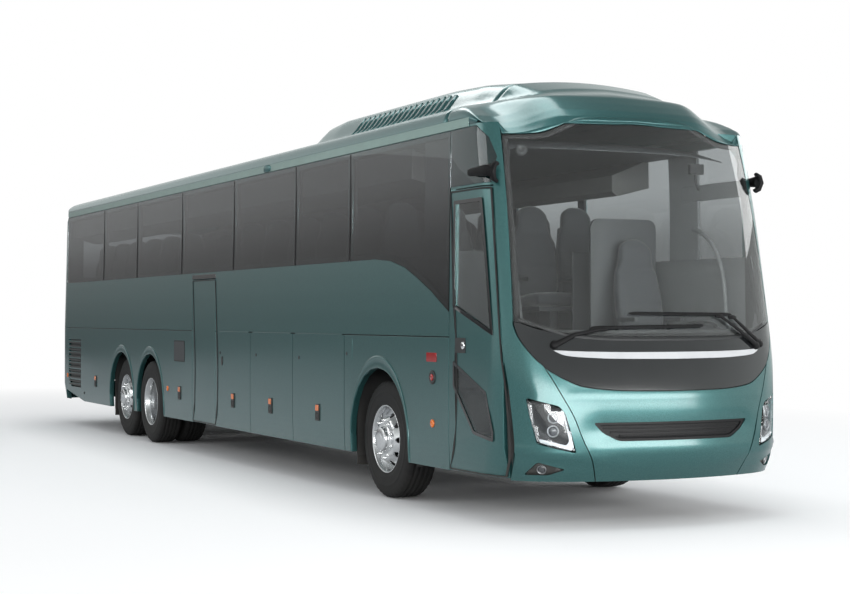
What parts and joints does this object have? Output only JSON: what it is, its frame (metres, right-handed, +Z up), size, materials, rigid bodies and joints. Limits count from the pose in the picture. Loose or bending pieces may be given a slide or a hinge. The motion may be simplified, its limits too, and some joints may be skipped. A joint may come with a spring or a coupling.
{
  "type": "three-axle touring coach",
  "caption": "Long-distance touring coach with opening passenger doors, luggage flaps, engine lid and steered, free-turning wheels.",
  "frame": {"origin": "on the ground under the middle of the body's length and width", "axes": "+X towards the coach's left side, -Y the way it drives, +Z up"},
  "size_m": [2.69, 14.95, 3.65],
  "materials": {
    "body_paint": "metallic gloss",
    "black_gloss": "gloss",
    "black_plastic": "satin",
    "chassis_paint": "satin",
    "tyre": "matt",
    "wheel_alloy": "polished",
    "axle_steel": "dull",
    "dark_glass": "tinted",
    "clear_glass": "clear",
    "lamp_glass": "clear",
    "lamp_red": "gloss",
    "roof_paint": "metallic gloss",
    "seat_fabric": "woven",
    "trim_grey": "satin",
    "floor_grey": "satin",
    "engine_iron": "dull",
    "rubber": "matt"
  },
  "bodies": {
    "coach": {"chassis_frame": "chassis_paint", "luggage_bay": "chassis_paint", "wheel_houses": "black_plastic", "saloon_floor": "floor_grey", "steps": "floor_grey", "wall_right": "body_paint", "wall_left": "body_paint", "roof": "roof_paint", "roof_dome": "roof_paint", "side_glass": "dark_glass", "windscreen": "clear_glass", "front_mask": "black_gloss", "front_bumper": "body_paint", "front_corners": "body_paint", "headlamps": "lamp_glass", "front_frame": "black_plastic", "skirt_right": "body_paint", "skirt_left": "body_paint", "rear_wall": "body_paint", "rear_window": "dark_glass", "rear_bumper": "body_paint", "tail_lamps": "lamp_red", "engine_block": "engine_iron", "front_axle": "axle_steel", "rear_axles": "axle_steel", "seats": "seat_fabric", "dashboard": "trim_grey", "partition": "trim_grey", "luggage_racks": "trim_grey", "mud_flaps": "rubber", "camera_arms": "black_gloss", "wipers": "black_plastic"},
    "steering_wheel": {"steering_wheel": "black_plastic"},
    "knuckle_left": {"knuckle_left": "axle_steel"},
    "knuckle_right": {"knuckle_right": "axle_steel"},
    "engine_lid": {"engine_lid": "body_paint"},
    "door_front": {"door_front": "body_paint", "door_front_glass": "dark_glass"},
    "door_front_arm": {"door_front_arm": "axle_steel"},
    "door_mid": {"door_mid": "body_paint"},
    "door_mid_arm": {"door_mid_arm": "axle_steel"},
    "wheel_front_left": {"tyre_front_left": "tyre", "rim_front_left": "wheel_alloy"},
    "wheel_tag_left": {"tyre_tag_left": "tyre", "rim_tag_left": "wheel_alloy"},
    "wheels_drive_left": {"tyres_drive_left": "tyre", "rims_drive_left": "wheel_alloy"},
    "flap_left_1": {"flap_left_1": "body_paint"},
    "flap_left_2": {"flap_left_2": "body_paint"},
    "flap_left_3": {"flap_left_3": "body_paint"},
    "wheel_front_right": {"tyre_front_right": "tyre", "rim_front_right": "wheel_alloy"},
    "wheel_tag_right": {"tyre_tag_right": "tyre", "rim_tag_right": "wheel_alloy"},
    "wheels_drive_right": {"tyres_drive_right": "tyre", "rims_drive_right": "wheel_alloy"},
    "flap_right_1": {"flap_right_1": "body_paint"},
    "flap_right_2": {"flap_right_2": "body_paint"},
    "flap_right_3": {"flap_right_3": "body_paint"}
  },
  "joints": [
    {"name": "steer_left", "type": "hinge", "parent": "coach", "child": "knuckle_left", "pos_m": [0.94, -4.642, 0.522], "axis": [0, 0, 1], "range_deg": [-40, 40]},
    {"name": "spin_front_left", "type": "hinge", "parent": "knuckle_left", "child": "wheel_front_left", "pos_m": [1.0575, -4.642, 0.522], "axis": [1, 0, 0], "continuous": true},
    {"name": "spin_drive_left", "type": "hinge", "parent": "coach", "child": "wheels_drive_left", "pos_m": [0.95, 2.598, 0.522], "axis": [1, 0, 0], "continuous": true},
    {"name": "spin_tag_left", "type": "hinge", "parent": "coach", "child": "wheel_tag_left", "pos_m": [1.0575, 3.968, 0.522], "axis": [1, 0, 0], "continuous": true},
    {"name": "steer_right", "type": "hinge", "parent": "coach", "child": "knuckle_right", "pos_m": [-0.94, -4.642, 0.522], "axis": [0, 0, 1], "range_deg": [-40, 40]},
    {"name": "spin_front_right", "type": "hinge", "parent": "knuckle_right", "child": "wheel_front_right", "pos_m": [-1.0575, -4.642, 0.522], "axis": [1, 0, 0], "continuous": true},
    {"name": "spin_drive_right", "type": "hinge", "parent": "coach", "child": "wheels_drive_right", "pos_m": [-0.95, 2.598, 0.522], "axis": [1, 0, 0], "continuous": true},
    {"name": "spin_tag_right", "type": "hinge", "parent": "coach", "child": "wheel_tag_right", "pos_m": [-1.0575, 3.968, 0.522], "axis": [1, 0, 0], "continuous": true},
    {"name": "flap_right_1_lift", "type": "hinge", "parent": "coach", "child": "flap_right_1", "pos_m": [-1.27, -3.192, 1.44], "axis": [0, 1, 0], "range_deg": [0, 85]},
    {"name": "flap_right_2_lift", "type": "hinge", "parent": "coach", "child": "flap_right_2", "pos_m": [-1.27, -1.887, 1.44], "axis": [0, 1, 0], "range_deg": [0, 85]},
    {"name": "flap_right_3_lift", "type": "hinge", "parent": "coach", "child": "flap_right_3", "pos_m": [-1.27, -0.657, 1.44], "axis": [0, 1, 0], "range_deg": [0, 85]},
    {"name": "flap_left_1_lift", "type": "hinge", "parent": "coach", "child": "flap_left_1", "pos_m": [1.27, -3.192, 1.44], "axis": [0, -1, 0], "range_deg": [0, 85]},
    {"name": "flap_left_2_lift", "type": "hinge", "parent": "coach", "child": "flap_left_2", "pos_m": [1.27, -1.887, 1.44], "axis": [0, -1, 0], "range_deg": [0, 85]},
    {"name": "flap_left_3_lift", "type": "hinge", "parent": "coach", "child": "flap_left_3", "pos_m": [1.27, -0.657, 1.44], "axis": [0, -1, 0], "range_deg": [0, 85]},
    {"name": "engine_lid_lift", "type": "hinge", "parent": "coach", "child": "engine_lid", "pos_m": [0, 7.4564, 1.744], "axis": [1, 0, 0], "range_deg": [0, 70]},
    {"name": "door_front_swing", "type": "hinge", "parent": "coach", "child": "door_front_arm", "pos_m": [-1.11, -6.78, 0.94], "axis": [0, 0, 1], "range_deg": [0, 135]},
    {"name": "door_front_turn", "type": "hinge", "parent": "door_front_arm", "child": "door_front", "pos_m": [-1.07, -6.33, 0.94], "axis": [0, 0, 1], "range_deg": [-135, 0]},
    {"name": "door_mid_swing", "type": "hinge", "parent": "coach", "child": "door_mid_arm", "pos_m": [-1.14, 0.658, 0.94], "axis": [0, 0, -1], "range_deg": [0, 135]},
    {"name": "door_mid_turn", "type": "hinge", "parent": "door_mid_arm", "child": "door_mid", "pos_m": [-1.1, 0.208, 0.94], "axis": [0, 0, -1], "range_deg": [-135, 0]},
    {"name": "steering_wheel_turn", "type": "hinge", "parent": "coach", "child": "steering_wheel", "pos_m": [0.67, -6.69, 1.33], "axis": [0, 0.4472, 0.8944], "range_deg": [-720, 720]}
  ],
  "couplings": [
    {"joint": "steer_right", "follows": "steer_left", "ratio": 1},
    {"joint": "door_front_turn", "follows": "door_front_swing", "ratio": -1},
    {"joint": "door_mid_turn", "follows": "door_mid_swing", "ratio": -1},
    {"joint": "steering_wheel_turn", "follows": "steer_left", "ratio": 18}
  ]
}
